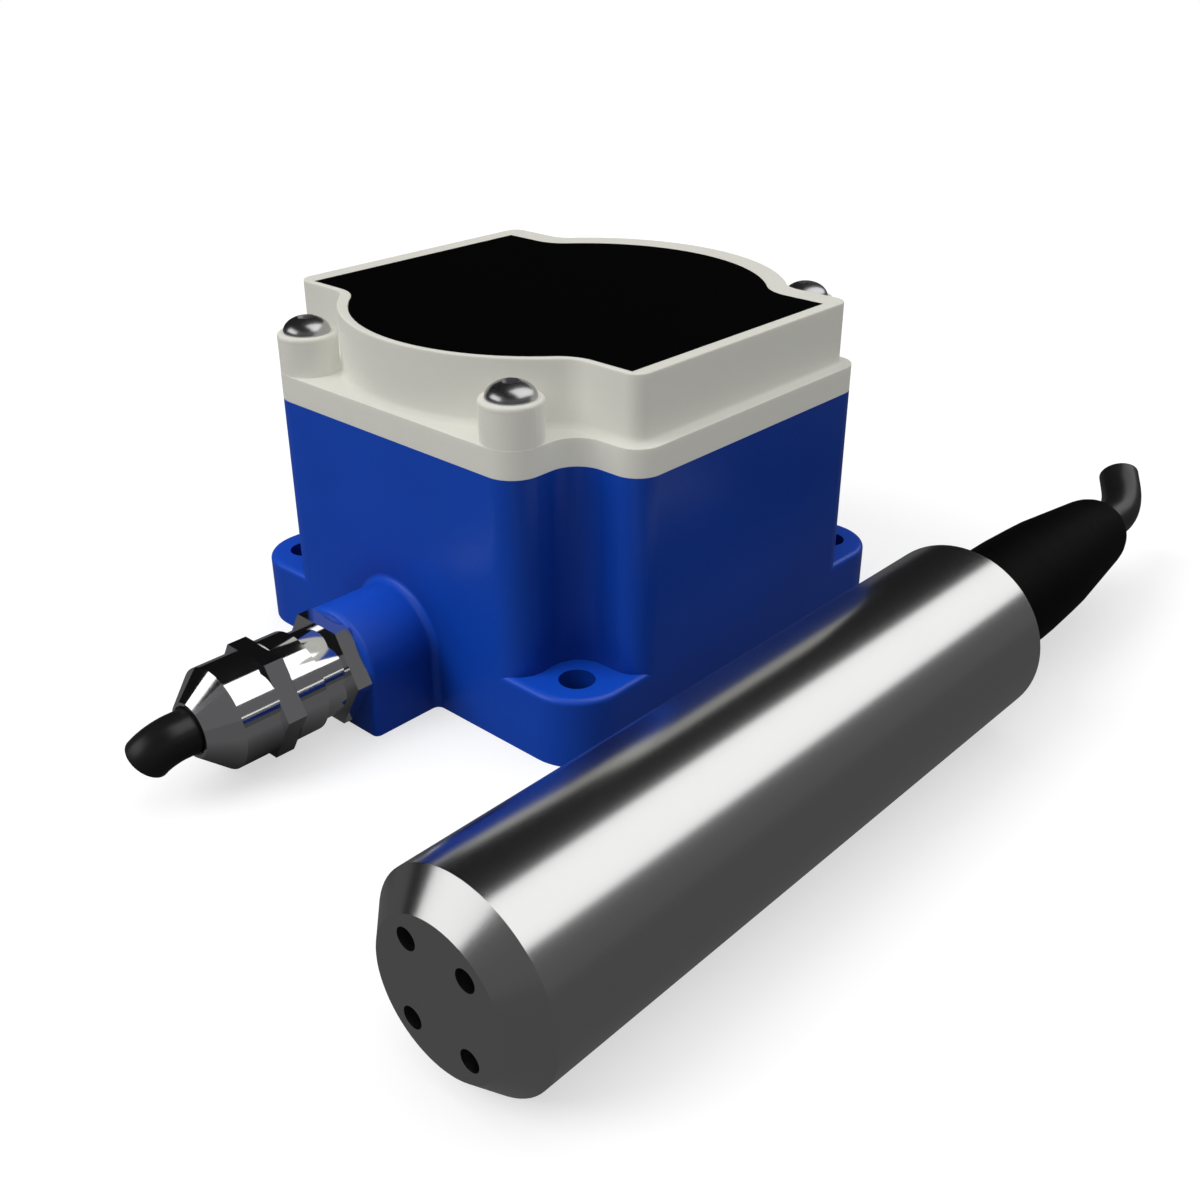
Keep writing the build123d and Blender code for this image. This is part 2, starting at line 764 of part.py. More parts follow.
def probe_body():
    """One turned piece: the tube with a bevelled nose, stepped inside for the sensor, and four ports."""
    axis = (probe_x, probe_radius)
    seat_radius = sensor_radius + sensor_clearance
    points = [(probe_nose, 0), (probe_nose, nose_face_radius), (probe_nose + nose_bevel_length, probe_radius)]
    points += [(probe_rear - tube_edge, probe_radius), (probe_rear, probe_radius - tube_edge)]
    points += [(probe_rear, tube_bore_radius), (sensor_rear, tube_bore_radius), (sensor_rear, seat_radius)]
    points += [(nose_inner, seat_radius), (nose_inner, 0)]
    body = turned(*axis, points)
    for sx, sz in corners:
        x = probe_x + sx * port_offset_x
        z = probe_radius + sz * port_offset_z
        body -= rod(x, z, port_radius, probe_nose, nose_inner)
    return body


def pressure_sensor():
    axis = (probe_x, probe_radius)
    stem_end = sensor_rear + sensor_stem_length
    points = [(sensor_front + sensor_dish_depth, 0), (sensor_front + sensor_dish_depth, sensor_dish_radius)]
    points += [(sensor_front, sensor_dish_radius), (sensor_front, sensor_radius), (sensor_rear, sensor_radius)]
    points += [(sensor_rear, sensor_stem_radius), (stem_end, sensor_stem_radius), (stem_end, 0)]
    return turned(*axis, points)


def sensor_seal():
    place = nose_inner + sensor_seal_section
    return o_ring(probe_x, probe_radius, place, sensor_seal_radius, sensor_seal_section)


def sensor_retainer():
    axis = (probe_x, probe_radius)
    ring = tube(*axis, tube_bore_radius - retainer_clearance, retainer_bore_radius, sensor_rear, retainer_rear)
    width = 2 * (probe_board_half_width + probe_board_slot_clearance)
    height = board_thickness + 2 * probe_board_slot_clearance
    slot = Box(width, retainer_slot_depth, height)
    return ring - Pos(probe_x, retainer_rear - retainer_slot_depth / 2, probe_radius) * slot


def probe_board():
    length = probe_board_rear - probe_board_front
    board = Box(2 * probe_board_half_width, length, board_thickness)
    return Pos(probe_x, probe_board_front + length / 2, probe_radius) * board


def probe_chips():
    """Four components along the board's upper side."""
    surface = probe_radius + board_thickness / 2
    sizes = [(9.0, 9.0, 1.6), (6.0, 5.0, 1.4), (12.0, 8.0, 2.0), (5.0, 6.0, 2.6)]
    room = probe_board_rear - probe_board_front
    pieces = []
    for i, (width, depth, height) in enumerate(sizes):
        y = probe_board_front + room * (i + 0.6) / (len(sizes) + 0.6)
        chip = block(probe_x, y, surface, width, depth, height)
        pieces.append(chamfer(chip.faces().sort_by(Axis.Z)[-1].edges(), height / 6))
    return pieces


def rear_plug():
    """Closes the tube, holds the rear end of the board in two prongs and carries the boot on a spigot."""
    axis = (probe_x, probe_radius)
    body = rod(*axis, plug_radius, plug_front, probe_rear)
    body += rod(*axis, plug_spigot_radius, probe_rear, probe_rear + plug_spigot_length)
    middle_x = (prong_inner + prong_outer) / 2
    for side in (-1, 1):
        prong = Box(prong_outer - prong_inner, prong_length, 2 * prong_half_height)
        body += Pos(probe_x + side * middle_x, plug_front - prong_length / 2, probe_radius) * prong
    slot_width = 2 * (probe_board_half_width + probe_board_slot_clearance)
    slot_height = board_thickness + 2 * probe_board_slot_clearance
    slot_end = probe_board_rear + probe_board_slot_clearance
    slot_length = slot_end - plug_front + prong_length
    slot = Box(slot_width, slot_length, slot_height)
    body -= Pos(probe_x, slot_end - slot_length / 2, probe_radius) * slot
    body -= rod(*axis, cable_radius + cable_clearance, plug_front, probe_rear + plug_spigot_length)
    for place in plug_o_ring_places:
        half = plug_o_ring_section + groove_clearance
        floor = plug_radius - 2 * plug_o_ring_section
        body -= tube(*axis, tube_bore_radius, floor, place - half, place + half)
    return body


def plug_o_rings():
    radius = tube_bore_radius - groove_clearance - plug_o_ring_section
    return [o_ring(probe_x, probe_radius, place, radius, plug_o_ring_section) for place in plug_o_ring_places]


def cable_boot():
    """The tapered boot: a slow belly over the plug's spigot, a straight taper and a rounded tip."""
    inner = cable_radius + cable_clearance
    stations = [(boot_straight_length, boot_radius), boot_belly, boot_taper_start]
    stations += [boot_taper_end, boot_tip_shoulder, (boot_length, boot_tip_radius)]
    points = [(radius, probe_rear + place) for place, radius in stations]
    slope = (points[3][0] - points[2][0]) / (points[3][1] - points[2][1])
    belly = Spline(*points[:3], tangents=[(0, 1), (slope, 1)])
    taper = Line(points[2], points[3])
    tip = Spline(*points[3:], tangents=[(slope, 1), (boot_tip_slope, 1)])
    socket = plug_spigot_radius + boot_clearance
    socket_end = probe_rear + plug_spigot_length + boot_clearance
    inside = Polyline(points[-1], (boot_mouth_radius, boot_end),
                      (inner, boot_end - boot_mouth_length), (inner, socket_end), (socket, socket_end),
                      (socket, probe_rear), (boot_radius, probe_rear), points[0])
    profile = make_face([belly, taper, tip, inside])
    return Pos(probe_x, 0, probe_radius) * revolve(profile, Axis.Y)


def probe_cable():
    corner = Vector(probe_x, probe_cable_corner, probe_radius)
    end = corner + Vector(*probe_cable_last_run)
    points = [(probe_x, probe_cable_start, probe_radius), tuple(corner), tuple(end)]
    return wire("probe cable", points, [end_bend_radius(points)], cable_radius)


def probe_cable_cores():
    """Four cores from the end of the jacket down on to the board's upper side."""
    surface = probe_radius + board_thickness / 2 + core_radius + 0.02
    pieces = []
    for i, share in enumerate((-1.5, -0.5, 0.5, 1.5)):
        start_x = probe_x + share * core_spread * 1.2
        end_x = probe_x + share * core_spread * 2
        start_z = surface + core_spread * 0.6
        points = [(start_x, probe_cable_start, start_z), (start_x, probe_board_rear, start_z)]
        points += [(end_x, probe_board_rear - 4, surface), (end_x, probe_board_rear - 9, surface)]
        pieces.append(wire(f"probe core {i + 1}", points, bend_radii(points), core_radius))
    return pieces


pieces = [housing, threaded_inserts, lid, lid_gasket, lid_screws, face_label,
          circuit_board, board_screws, radio_module, processor_chip, board_capacitor, antenna,
          terminal_block, terminal_screws, battery_holder, battery_cells, battery_contacts,
          gland_body, gland_o_ring, gland_seal, gland_clamp, gland_cap, box_cable, box_cable_cores,
          probe_body, pressure_sensor, sensor_seal, sensor_retainer, probe_board, probe_chips,
          rear_plug, plug_o_rings, cable_boot, probe_cable, probe_cable_cores]

os.makedirs("parts", exist_ok=True)
for piece in pieces:
    made = piece()
    if isinstance(made, list):
        made = Compound(children=made)
    export_step(made, f"parts/{piece.__name__}.step")
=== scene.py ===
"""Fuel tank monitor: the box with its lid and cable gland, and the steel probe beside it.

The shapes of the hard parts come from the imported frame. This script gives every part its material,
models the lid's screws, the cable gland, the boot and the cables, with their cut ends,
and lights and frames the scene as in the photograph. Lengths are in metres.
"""
import json
import math

import bpy
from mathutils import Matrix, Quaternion, Vector


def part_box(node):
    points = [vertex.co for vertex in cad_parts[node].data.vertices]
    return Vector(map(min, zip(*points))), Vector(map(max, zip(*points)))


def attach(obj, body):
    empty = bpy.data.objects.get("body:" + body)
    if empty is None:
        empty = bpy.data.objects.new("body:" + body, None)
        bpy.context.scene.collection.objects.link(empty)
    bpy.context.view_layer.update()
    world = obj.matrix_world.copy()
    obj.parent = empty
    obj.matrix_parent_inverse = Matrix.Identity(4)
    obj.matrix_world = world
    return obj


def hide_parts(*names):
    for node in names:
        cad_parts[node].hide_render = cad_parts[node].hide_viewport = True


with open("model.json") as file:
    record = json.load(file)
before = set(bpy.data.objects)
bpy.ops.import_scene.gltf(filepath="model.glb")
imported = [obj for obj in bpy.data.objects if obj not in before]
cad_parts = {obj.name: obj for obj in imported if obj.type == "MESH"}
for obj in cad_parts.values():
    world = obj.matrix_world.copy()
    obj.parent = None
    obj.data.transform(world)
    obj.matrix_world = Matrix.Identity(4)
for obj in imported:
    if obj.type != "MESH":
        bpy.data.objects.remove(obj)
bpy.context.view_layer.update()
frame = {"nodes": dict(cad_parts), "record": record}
gland_height = 0.0123
probe_x = 0.0862
probe_height = 0.0174
cable_radius = 0.00435
screw_radius = 0.0047
screw_height = 0.0031


class Signal:
    """A socket of a material's nodes that can be used in sums."""

    def __init__(self, paint, socket):
        self.paint = paint
        self.socket = socket

    def math(self, operation, first, second):
        node = self.paint.add("ShaderNodeMath", {"operation": operation}, {0: first, 1: second})
        return Signal(self.paint, node.outputs[0])

    def __add__(self, other):
        return self.math("ADD", self, other)

    def __radd__(self, other):
        return self.math("ADD", other, self)

    def __rsub__(self, other):
        return self.math("SUBTRACT", other, self)

    def __mul__(self, other):
        return self.math("MULTIPLY", self, other)

    def __rmul__(self, other):
        return self.math("MULTIPLY", other, self)

    def __pow__(self, other):
        return self.math("POWER", self, other)

    def at_least(self, other):
        return self.math("MAXIMUM", self, other)

    def ramp(self, low, high):
        """0 below low, 1 above high, and a smooth rise between."""
        settings = {"interpolation_type": "SMOOTHSTEP"}
        values = {"Value": self, "From Min": low, "From Max": high}
        node = self.paint.add("ShaderNodeMapRange", settings, values)
        return Signal(self.paint, node.outputs["Result"])


class Paint:
    """A node tree that is filled in by sums of signals."""

    def __init__(self, tree):
        self.tree = tree

    def add(self, kind, settings=None, values=None):
        node = self.tree.nodes.new(kind)
        for key, value in (settings or {}).items():
            setattr(node, key, value)
        for key, value in (values or {}).items():
            self.feed(node.inputs[key], value)
        return node

    def feed(self, socket, value):
        if isinstance(value, Signal):
            self.tree.links.new(value.socket, socket)
        else:
            socket.default_value = value

    def signal(self, kind, output, settings=None, values=None):
        return Signal(self, self.add(kind, settings, values).outputs[output])

    def stretch(self, vector, scale):
        """The vector multiplied by scale along each axis."""
        return self.signal("ShaderNodeVectorMath", 0, {"operation": "MULTIPLY"}, {0: vector, 1: scale})

    def axis(self, vector, name):
        return self.signal("ShaderNodeSeparateXYZ", name, None, {"Vector": vector})

    def noise(self, vector, scale, detail=2.0, roughness=0.5):
        """Noise from 0 to 1, with about scale spots along each unit of the vector."""
        values = {"Vector": vector, "Scale": scale, "Detail": detail, "Roughness": roughness}
        return self.signal("ShaderNodeTexNoise", 0, None, values)

    def blend(self, factor, first, second):
        """A colour between first and second."""
        return self.signal("ShaderNodeMix", 2, {"data_type": "RGBA"}, {0: factor, 6: first, 7: second})


class Finish(Paint):
    """The material of one slot of the record."""

    def __init__(self, slot, **fixed):
        self.slot = slot
        self.material = bpy.data.materials.new(slot + "_finish")
        self.material.use_nodes = True
        super().__init__(self.material.node_tree)
        self.shader = self.tree.nodes["Principled BSDF"]
        self.set(**fixed)
        self.place = self.signal("ShaderNodeTexCoord", "Object")
        self.colour = None
        self.relief = None

    def set(self, **inputs):
        for key, value in inputs.items():
            self.feed(self.shader.inputs[key.replace("_", " ")], value)

    def vary_roughness(self, middle, spread, signal):
        """Roughness that follows a signal, from half the spread below the middle to half above it."""
        self.set(Roughness=middle - spread / 2 + spread * signal)

    def bump(self, height, depth):
        """Raises the surface by up to depth metres where height is 1. Bumps add up."""
        values = {"Height": height, "Distance": depth}
        if self.relief:
            values["Normal"] = self.relief
        self.relief = self.signal("ShaderNodeBump", "Normal", None, values)
        self.set(Normal=self.relief)


def rgb(red, green, blue):
    return (red, green, blue, 1.0)


def grey(level):
    return rgb(level, level, level)


def moulded(slot, colour, darker, roughness):
    """Satin moulded plastic: faint flow marks, a fine spark-eroded grain and a gentle waviness."""
    grain, waviness = 0.00001, 0.00006
    finish = Finish(slot, IOR=1.46)
    flow = finish.noise(finish.place, 55.0, detail=4.0, roughness=0.6)
    flecks = finish.noise(finish.place, 900.0)
    finish.colour = finish.blend((0.75 * flow + 0.25 * flecks).ramp(0.35, 0.65), colour, darker)
    finish.set(Base_Color=finish.colour)
    finish.vary_roughness(roughness, 0.06, finish.noise(finish.place, 140.0, detail=3.0))
    finish.bump(finish.noise(finish.place, 2600.0, roughness=0.6), grain)
    finish.bump(finish.noise(finish.place, 45.0, detail=1.0), waviness)
    return finish


def blue_plastic():
    """The housing's blue, with painted shade that makes it darker in the notches and beside the entry block,
    but not where it faces up.
    """
    finish = moulded("blue_plastic", rgb(0.004, 0.072, 0.56), rgb(0.004, 0.067, 0.53), 0.36)
    # Painted shade: where ambient occlusion finds the surface hemmed in and not facing up, the colour turns
    # to a deeper blue.
    painted_shade_blue = rgb(0.003, 0.036, 0.3)
    reach = 0.03
    settings = {"samples": 8, "only_local": True}
    open_sky = finish.signal("ShaderNodeAmbientOcclusion", "AO", settings, {"Distance": reach})
    upward = finish.axis(finish.signal("ShaderNodeNewGeometry", "Normal"), "Z").at_least(0.0)
    painted_shade_mask = (1.0 - open_sky) * (1.0 - upward)
    finish.set(Base_Color=finish.blend(painted_shade_mask.ramp(0.05, 0.5), finish.colour, painted_shade_blue))
    return finish


def white_plastic():
    """The lid's off-white, which lets light a little way in, with a weak glow in its own tint that is
    painted light lifting the lid's shaded sides.
    """
    finish = moulded("white_plastic", rgb(0.5, 0.497, 0.447), rgb(0.49, 0.487, 0.437), 0.45)
    finish.set(Subsurface_Weight=0.25, Subsurface_Radius=(1.0, 1.0, 0.9), Subsurface_Scale=0.003)
    # Painted light: this weak emission brightens the lid where it is in shade.
    finish.set(Emission_Color=rgb(1.0, 0.99, 0.92), Emission_Strength=0.21)
    return finish


def label_film():
    """Black printed film with hardly any gloss."""
    texture = 0.000004
    finish = Finish("label_film", IOR=1.4, Specular_IOR_Level=0.2)
    cloud = finish.noise(finish.place, 300.0, detail=3.0)
    finish.set(Base_Color=finish.blend(cloud, grey(0.0004), grey(0.0008)))
    finish.vary_roughness(0.34, 0.08, finish.noise(finish.place, 90.0, detail=3.0))
    finish.bump(finish.noise(finish.place, 1500.0), texture)
    return finish


def rubber(slot, colour, paler, roughness, grain=0.00002, **fixed):
    """Moulded or extruded rubber: a soft sheen, fine pitting and a slight bloom."""
    finish = Finish(slot, IOR=1.5, **fixed)
    bloom = finish.noise(finish.place, 120.0, detail=5.0, roughness=0.65)
    finish.set(Base_Color=finish.blend(bloom.ramp(0.4, 0.75), colour, paler))
    finish.vary_roughness(roughness, 0.1, finish.noise(finish.place, 320.0, detail=3.0))
    finish.bump(finish.noise(finish.place, 1800.0, detail=3.0, roughness=0.6), grain)
    return finish


def worked_metal(slot, colour, darker, roughness, stretch, groove, spread=0.06):
    """Metal with fine marks that run along the axes with the smallest numbers in stretch."""
    finish = Finish(slot, Metallic=1.0)
    grooves = finish.noise(finish.stretch(finish.place, stretch), 1.0, detail=4.0, roughness=0.7)
    cloud = finish.noise(finish.place, 70.0, detail=3.0)
    finish.set(Base_Color=finish.blend((0.5 * grooves + 0.5 * cloud).ramp(0.3, 0.8), colour, darker))
    finish.vary_roughness(roughness, spread, 0.6 * grooves + 0.4 * cloud)
    finish.bump(grooves, groove)
    return finish


def battery_wrap():
    """Shrink film round the cells: black up to one place along X, and copper-coloured beyond it."""
    copper_start, black, copper = 0.012, rgb(0.03, 0.03, 0.035), rgb(0.55, 0.33, 0.08)
    finish = Finish("battery_wrap", IOR=1.5)
    along = finish.axis(finish.place, "X")
    finish.set(Base_Color=finish.blend(along.ramp(copper_start, copper_start + 0.0002), black, copper))
    finish.vary_roughness(0.27, 0.1, finish.noise(finish.place, 200.0))
    return finish


def core_insulation():
    """The cables' cores: red left of the box's middle, and blue right of it and in the probe."""
    red, blue = rgb(0.5, 0.03, 0.02), rgb(0.02, 0.05, 0.35)
    finish = Finish("core_insulation", IOR=1.5)
    side = finish.axis(finish.place, "X")
    finish.set(Base_Color=finish.blend(side.ramp(-0.0001, 0.0001), red, blue))
    finish.vary_roughness(0.35, 0.1, finish.noise(finish.place, 600.0))
    return finish


def board():
    """Green solder mask with copper tracks just under it."""
    track_pitch, relief = 0.0011, 0.00003
    finish = Finish("board", Roughness=0.35)
    across = finish.axis(finish.place, "X")
    tracks = finish.signal("ShaderNodeMath", 0, {"operation": "PINGPONG"}, {0: across, 1: track_pitch})
    ways = finish.noise(finish.stretch(finish.place, (900.0, 40.0, 40.0)), 1.0, detail=0.0)
    drawn = tracks.ramp(0.0004, 0.0005) * ways.ramp(0.5, 0.52)
    finish.set(Base_Color=finish.blend(drawn, rgb(0.01, 0.11, 0.04), rgb(0.02, 0.2, 0.07)))
    finish.bump(drawn, relief)
    return finish


def finishes():
    """One finish for each of the record's material slots."""
    made = [
        blue_plastic(),
        white_plastic(),
        label_film(),
        worked_metal("screw_steel", rgb(0.5, 0.5, 0.51), rgb(0.48, 0.48, 0.49), 0.28,
                     stretch=(600.0, 600.0, 60.0), groove=0.000001),
        worked_metal("brass", rgb(0.75, 0.52, 0.2), rgb(0.6, 0.4, 0.14), 0.25,
                     stretch=(60.0, 60.0, 2500.0), groove=0.00001),
        rubber("rubber", grey(0.001), grey(0.0018), 0.62, Specular_IOR_Level=0.06),
        moulded("component", grey(0.02), grey(0.03), 0.5),
        worked_metal("shield", rgb(0.6, 0.6, 0.58), rgb(0.5, 0.5, 0.48), 0.3,
                     stretch=(90.0, 1600.0, 90.0), groove=0.000002),
        moulded("terminal_green", rgb(0.05, 0.35, 0.1), rgb(0.045, 0.3, 0.09), 0.4),
        battery_wrap(),
        worked_metal("chrome_plate", rgb(0.86, 0.86, 0.87), rgb(0.84, 0.84, 0.85), 0.07,
                     stretch=(80.0, 1500.0, 80.0), groove=0.0000008, spread=0.03),
        moulded("nylon", rgb(0.6, 0.59, 0.55), rgb(0.55, 0.54, 0.5), 0.45),
        rubber("cable_jacket", rgb(0.008, 0.008, 0.0085), rgb(0.011, 0.011, 0.0115), 0.34, grain=0.00001),
        core_insulation(),
        worked_metal("stainless", grey(0.62), grey(0.61), 0.21,
                     stretch=(60.0, 9000.0, 60.0), groove=0.0000002, spread=0.03),
        board()]
    return {finish.slot: finish.material for finish in made}


materials = finishes()
for part in frame["record"]["subparts"]:
    node = frame["nodes"][part["node"]]
    node.data.materials.clear()
    node.data.materials.append(materials[part["material_slot"]])


def select_only(piece):
    bpy.ops.object.select_all(action="DESELECT")
    piece.select_set(True)
    bpy.context.view_layer.objects.active = piece


def start_piece(name, add, **values):
    """A new primitive with its place applied, left in edit mode with all of it selected."""
    bpy.ops.object.select_all(action="DESELECT")
    add(**values)
    piece = bpy.context.object
    piece.name = name
    bpy.ops.object.transform_apply(location=True, rotation=True, scale=True)
    bpy.ops.object.mode_set(mode="EDIT")
    bpy.ops.mesh.select_all(action="SELECT")
    return piece


def end_piece(piece, slot, node=None):
    """Closes a piece: normals outward, smooth shading but for its edges, its material and its place."""
    bpy.ops.mesh.select_all(action="SELECT")
    bpy.ops.mesh.normals_make_consistent(inside=False)
    bpy.ops.object.mode_set(mode="OBJECT")
    bpy.ops.object.shade_smooth_by_angle(angle=math.radians(30.0))
    piece.data.materials.clear()
    piece.data.materials.append(materials[slot])
    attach(piece, "root")
    if node:
        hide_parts(node)


def extrude(vector):
    """Draws the selected face out by the vector."""
    bpy.ops.mesh.extrude_region_move(TRANSFORM_OT_translate={"value": vector})


def widen(share, centre):
    """Scales what is selected across the Y axis, about a centre."""
    bpy.ops.transform.resize(value=(share, 1.0, share), center_override=centre)


def soften(width, segments):
    """Rounds the sharp edges of the piece that is being edited."""
    bpy.ops.mesh.select_all(action="DESELECT")
    bpy.ops.mesh.select_mode(type="EDGE")
    bpy.ops.mesh.edges_select_sharp(sharpness=math.radians(25.0))
    bpy.ops.mesh.bevel(offset=width, segments=segments, affect="EDGES")


def model_screw():
    """A domed head that rests on the origin, with a hexagonal socket and a plain shank."""
    shank_radius, shank_length = 0.00245, 0.025
    socket_radius, socket_depth = 0.00175, 0.0027
    origin, up = (0.0, 0.0, 0.0), (0.0, 0.0, 1.0)
    screw = start_piece("lid_screw_1", bpy.ops.mesh.primitive_uv_sphere_add, segments=64, ring_count=32,
                        radius=screw_radius)
    bpy.ops.transform.resize(value=(1.0, 1.0, screw_height / screw_radius), center_override=origin)
    bpy.ops.mesh.bisect(plane_co=origin, plane_no=up, use_fill=True, clear_inner=True)
    bpy.ops.mesh.inset(thickness=screw_radius - shank_radius)
    extrude((0.0, 0.0, -shank_length))
    bpy.ops.object.mode_set(mode="OBJECT")
    cutter = start_piece("socket", bpy.ops.mesh.primitive_cylinder_add, vertices=6, radius=socket_radius,
                         depth=2 * socket_depth, location=(0.0, 0.0, screw_height))
    bpy.ops.object.mode_set(mode="OBJECT")
    cut = screw.modifiers.new("socket", "BOOLEAN")
    cut.operation = "DIFFERENCE"
    cut.object = cutter
    edge = screw.modifiers.new("edge", "BEVEL")
    edge.width = 0.00009
    edge.segments = 2
    edge.angle_limit = math.radians(50.0)
    select_only(screw)
    bpy.ops.object.modifier_apply(modifier="socket")
    bpy.ops.object.modifier_apply(modifier="edge")
    bpy.data.objects.remove(cutter)
    return screw


def make_screws():
    """The four lid screws, each on a raised and rounded seat on its boss."""
    low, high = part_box("lid_screws")
    solid_head_height = 0.0029
    boss_top = high[2] - solid_head_height
    seat_height, seat_radius, seat_rounding = 0.0008, 0.00592, 0.0006
    columns = (low[0] + screw_radius, high[0] - screw_radius)
    rows = (low[1] + screw_radius, high[1] - screw_radius)
    places = [(x, y) for x in columns for y in rows]
    pieces = [model_screw()]
    for i in range(2, 5):
        copy = bpy.data.objects.new(f"lid_screw_{i}", pieces[0].data.copy())
        bpy.context.collection.objects.link(copy)
        pieces.append(copy)
    for piece, (x, y) in zip(pieces, places):
        select_only(piece)
        bpy.ops.object.mode_set(mode="EDIT")
        bpy.ops.mesh.select_all(action="SELECT")
        bpy.ops.transform.translate(value=(x, y, boss_top + seat_height))
        end_piece(piece, "screw_steel", "lid_screws")
    for i, (x, y) in enumerate(places):
        piece = start_piece(f"lid_boss_top_{i + 1}", bpy.ops.mesh.primitive_cylinder_add, vertices=96,
                            radius=seat_radius, depth=2 * seat_height, location=(x, y, boss_top))
        soften(width=seat_rounding, segments=4)
        end_piece(piece, "white_plastic")


def bar(name, sides, radius, front, rear):
    """A round or six-sided bar on the gland's axis, a hexagon flat at the top."""
    turn = math.radians(90.0)
    return start_piece(name, bpy.ops.mesh.primitive_cylinder_add, vertices=sides, radius=radius,
                       depth=rear - front, location=(0.0, (front + rear) / 2, gland_height),
                       rotation=(turn, turn, 0.0))


def make_gland():
    """The gland: a sharp hexagon against the box, the collar, and the cap's ring, hexagon and cone."""
    round_sides, hexagon_sides, hexagon_radius = 128, 6, 0.01143
    for name, node, sides, radius, front, rear in (
            ("gland_body_hexagon", "gland_body", hexagon_sides, hexagon_radius, -0.0691, -0.0658),
            ("gland_body_collar", "gland_body", round_sides, 0.009, -0.0752, -0.0690),
            ("gland_cap_hexagon", "gland_cap", hexagon_sides, hexagon_radius, -0.0848, -0.0808),
            ("gland_cap_ring", "gland_cap", round_sides, 0.0101, -0.0809, -0.0750)):
        piece = bar(name, sides, radius, front, rear)
        end_piece(piece, "chrome_plate", node)
    front, mouth_radius, mouth_wall, mouth_depth = -0.098, 0.0054, 0.0006, 0.004
    cone_length, dome_radius, dome_length = 0.0053, 0.01, 0.008
    piece = start_piece("gland_cap_dome", bpy.ops.mesh.primitive_circle_add, vertices=round_sides,
                        radius=mouth_radius, fill_type="NGON", location=(0.0, front, gland_height),
                        rotation=(math.radians(90.0), 0.0, 0.0))
    extrude((0.0, cone_length, 0.0))
    widen(dome_radius / mouth_radius, (0.0, front + cone_length, gland_height))
    extrude((0.0, dome_length, 0.0))
    bpy.ops.mesh.select_all(action="DESELECT")
    bpy.ops.mesh.select_mode(type="FACE")
    bpy.ops.object.mode_set(mode="OBJECT")
    for face in piece.data.polygons:
        face.select = face.center.y < front + 0.0001
    bpy.ops.object.mode_set(mode="EDIT")
    bpy.ops.mesh.inset(thickness=mouth_wall)
    extrude((0.0, mouth_depth, 0.0))
    end_piece(piece, "chrome_plate", "gland_cap")


def make_boot():
    """The probe's tapered boot, drawn out ring by ring from its front end to its rounded tip."""
    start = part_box("cable_boot")[0][1]
    mouth_wall, mouth_depth = 0.0006, 0.0046
    # Each ring is a distance from the boot's front end and a radius.
    rings = [(0.0, 0.0114), (0.0193, 0.0114), (0.0235, 0.01133), (0.0273, 0.01115), (0.032, 0.01093),
             (0.0373, 0.01062), (0.0575, 0.00836), (0.0593, 0.00805), (0.0609, 0.00755),
             (0.0622, 0.00685), (0.0632, 0.00605), (0.0638, 0.0054)]
    piece = start_piece("boot", bpy.ops.mesh.primitive_circle_add, vertices=96, radius=rings[0][1],
                        fill_type="NGON", location=(probe_x, start, probe_height),
                        rotation=(math.radians(-90.0), 0.0, 0.0))
    for (place, radius), (next_place, next_radius) in zip(rings, rings[1:]):
        extrude((0.0, next_place - place, 0.0))
        widen(next_radius / radius, (probe_x, start + next_place, probe_height))
    bpy.ops.mesh.inset(thickness=mouth_wall)
    extrude((0.0, -mouth_depth, 0.0))
    end_piece(piece, "rubber", "cable_boot")


def make_cable(node, start, way, bend_start, bend, turn, lean, last):
    """A cable that runs along Y, one way or the other, bends once towards a side and is cut off square.

    way is 1 towards the rear and -1 towards the front, and bend_start is the bend's place along Y.
    bend is its radius, turn its angle, and lean the angle of its side from straight up to the left,
    both in degrees. last is the straight length after it.
    """
    turn, lean = math.radians(turn), math.radians(lean)
    side = Vector((-math.sin(lean), 0.0, math.cos(lean)))
    piece = start_piece(node + "_jacket", bpy.ops.mesh.primitive_circle_add, vertices=64,
                        radius=cable_radius, fill_type="NGON", location=start,
                        rotation=(math.radians(-90.0 * way), 0.0, 0.0))
    extrude((0.0, bend_start - start[1], 0.0))
    centre = Vector((start[0], bend_start, start[2])) + bend * side
    bpy.ops.mesh.spin(steps=24, angle=turn, center=centre, axis=(-way * side.z, 0.0, way * side.x))
    forward = math.sin(turn) * side + Vector((0.0, way * math.cos(turn), 0.0))
    end = centre - bend * math.cos(turn) * side + Vector((0.0, way * bend * math.sin(turn), 0.0))
    extrude(last * forward)
    bpy.ops.mesh.bevel(offset=0.0002, segments=3, affect="EDGES")
    end_piece(piece, "cable_jacket", node)
    make_cut_end(node, end + last * forward, forward)


def make_cables():
    """The box's cable bends down and to the left, the probe's up and to the left."""
    inner_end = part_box("box_cable")[1][1]
    make_cable("box_cable", (0.0, inner_end, gland_height), way=-1, bend_start=-0.1006, bend=0.0059,
               turn=61.0, lean=147.4, last=0.0004)
    inner_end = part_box("probe_cable")[0][1]
    make_cable("probe_cable", (probe_x, inner_end, probe_height), way=1, bend_start=0.08944, bend=0.01587,
               turn=44.6, lean=48.7, last=0.004)


def make_cut_end(cable, place, forward):
    """The four cores in a cable's cut end, each with its copper strands."""
    ring_radius, first_angle = 0.0015, 20.0
    side = forward.orthogonal().normalized()
    rotation = forward.to_track_quat("Z", "Y").to_euler()
    for slot, radius, length in (("core_insulation", 0.0008, 0.0003), ("brass", 0.0004, 0.0005)):
        for i in range(4):
            around = side.copy()
            around.rotate(Quaternion(forward, math.radians(90.0 * i + first_angle)))
            centre = place + ring_radius * around + 0.5 * length * forward
            piece = start_piece(f"{cable}_{slot}_end_{i + 1}", bpy.ops.mesh.primitive_cylinder_add,
                                vertices=24, radius=radius, depth=length, location=centre,
                                rotation=rotation)
            soften(width=0.00005, segments=2)
            end_piece(piece, slot)


